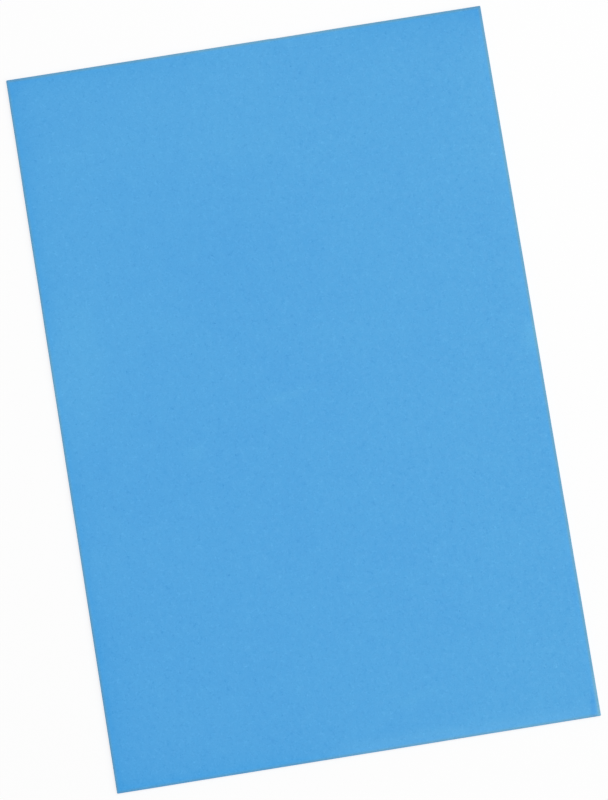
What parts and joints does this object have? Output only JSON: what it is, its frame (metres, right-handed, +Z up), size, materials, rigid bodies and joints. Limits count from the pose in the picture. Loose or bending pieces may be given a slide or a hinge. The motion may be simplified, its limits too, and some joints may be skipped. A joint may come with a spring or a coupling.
{
  "type": "craft foam sheet",
  "caption": "Flat rectangular sheet of soft closed-cell foam with matte faces and square-cornered cut edges, for cutting, gluing, lining and padding.",
  "frame": {"origin": "middle of the underside, on the surface that the sheet lies on", "axes": "+X across the width, +Y along the length, +Z up out of the upper face"},
  "size_m": [0.2, 0.3, 0.002],
  "materials": {
    "foam": "matte"
  },
  "bodies": {
    "root": {"foam_sheet": "foam"}
  },
  "joints": []
}
